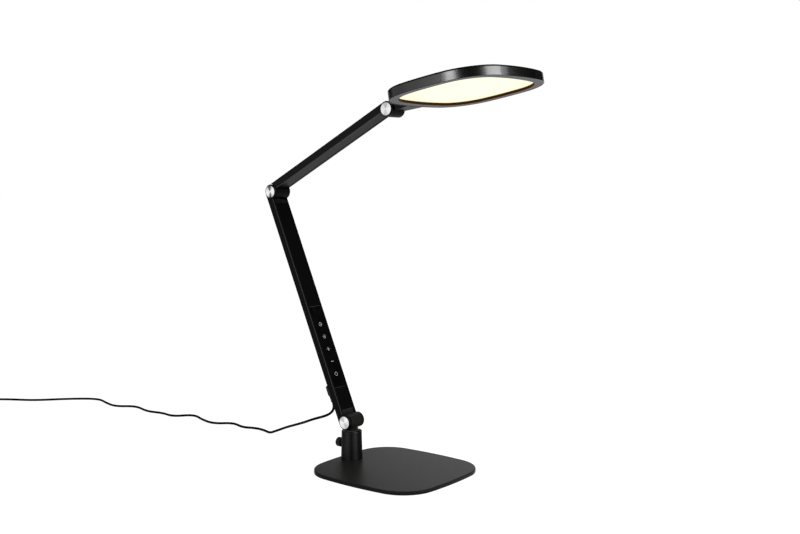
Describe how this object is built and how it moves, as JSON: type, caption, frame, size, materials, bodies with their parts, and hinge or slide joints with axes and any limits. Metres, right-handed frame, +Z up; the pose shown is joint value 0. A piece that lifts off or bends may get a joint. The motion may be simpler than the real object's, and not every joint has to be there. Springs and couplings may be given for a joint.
{
  "type": "led desk lamp",
  "caption": "Black desk lamp with a flat weighted base, a swivelling neck, hinged lower and upper arms, a touch panel on the lower arm, and a flat lit head.",
  "frame": {"origin": "middle of the base's underside", "axes": "+Z up, +X towards the side that the head reaches over, +Y to the lamp's left"},
  "size_m": [1.0703, 0.2662, 0.497],
  "materials": {
    "base_paint": "matte",
    "post_paint": "satin",
    "pad_foam": "matte",
    "arm_anodised": "satin",
    "arm_cover": "satin",
    "arm_end": "satin",
    "panel_black": "satin",
    "cap_silver": "satin",
    "steel": "satin",
    "washer_nylon": "satin",
    "knob_black": "matte",
    "head_black": "satin",
    "bezel_black": "satin",
    "diffuser_lit": "satin",
    "guide_clear": "gloss",
    "reflector_white": "matte",
    "spreader_bare": "satin",
    "strip_white": "satin",
    "diode_yellow": "satin",
    "board_green": "satin",
    "chip_black": "matte",
    "wire_jacket": "satin",
    "socket_black": "satin",
    "plug_black": "matte",
    "pin_nickel": "polished",
    "cord_black": "satin",
    "tie_black": "satin",
    "adapter_black": "matte"
  },
  "bodies": {
    "base": {"base_plate": "base_paint", "base_pad": "pad_foam", "post": "post_paint", "post_screw": "steel", "swivel_bushes": "washer_nylon"},
    "thumb_screw": {"thumb_knob": "knob_black", "thumb_stud": "steel"},
    "swivel_neck": {"neck": "post_paint", "swivel_washer": "washer_nylon", "lower_pivot_washers": "washer_nylon", "cord_drop": "cord_black", "cord_floor": "cord_black", "cord_coil": "cord_black", "cord_tie": "tie_black", "adapter_case": "adapter_black", "adapter_pins": "pin_nickel", "adapter_relief": "plug_black"},
    "lower_arm": {"lower_arm_channel": "arm_anodised", "lower_arm_cover_low": "arm_cover", "control_panel": "panel_black", "lower_arm_cover": "arm_cover", "lower_end_piece": "arm_end", "elbow_end_piece": "arm_end", "touch_board": "board_green", "touch_chips": "chip_black", "lower_arm_wires": "wire_jacket", "dc_socket": "socket_black", "dc_plug": "plug_black", "dc_plug_barrel": "pin_nickel", "lower_pivot_sleeve": "steel", "lower_pivot_screw": "steel", "lower_pivot_caps": "cap_silver", "elbow_pivot_sleeve": "steel", "elbow_pivot_screw": "steel", "elbow_pivot_caps": "cap_silver"},
    "upper_arm": {"upper_arm_channel": "arm_anodised", "upper_arm_cover": "arm_cover", "upper_end_piece": "arm_end", "elbow_knuckle": "arm_anodised", "elbow_knuckle_screws": "steel", "upper_arm_wires": "wire_jacket", "elbow_pivot_washers": "washer_nylon", "head_pivot_sleeve": "steel", "head_pivot_screw": "steel", "head_pivot_caps": "cap_silver"},
    "head": {"head_housing": "head_black", "head_knuckle": "arm_anodised", "head_lug_pins": "steel", "head_bezel": "bezel_black", "diffuser": "diffuser_lit", "light_guide": "guide_clear", "reflector": "reflector_white", "heat_spreader": "spreader_bare", "light_strip": "strip_white", "light_diodes": "diode_yellow", "head_pivot_washers": "washer_nylon"}
  },
  "joints": [
    {"name": "thumb_screw_turn", "type": "hinge", "parent": "base", "child": "thumb_screw", "pos_m": [-0.0725, 0, 0.0235], "axis": [-1, 0, 0], "range_deg": [0, 360]},
    {"name": "base_swivel", "type": "hinge", "parent": "base", "child": "swivel_neck", "pos_m": [-0.0725, 0, 0.0424], "axis": [0, 0, 1], "continuous": true},
    {"name": "lower_tilt", "type": "hinge", "parent": "swivel_neck", "child": "lower_arm", "pos_m": [-0.0725, 0, 0.05485], "axis": [0, 1, 0], "range_deg": [-21.25, 68.75], "deforming": ["cord_drop"]},
    {"name": "elbow_bend", "type": "hinge", "parent": "lower_arm", "child": "upper_arm", "pos_m": [-0.20347, 0, 0.35251], "axis": [0, 1, 0], "range_deg": [-85, 33.6]},
    {"name": "head_tilt", "type": "hinge", "parent": "upper_arm", "child": "head", "pos_m": [-0.00347, 0, 0.45613], "axis": [0, 1, 0], "range_deg": [-90, 80]}
  ]
}
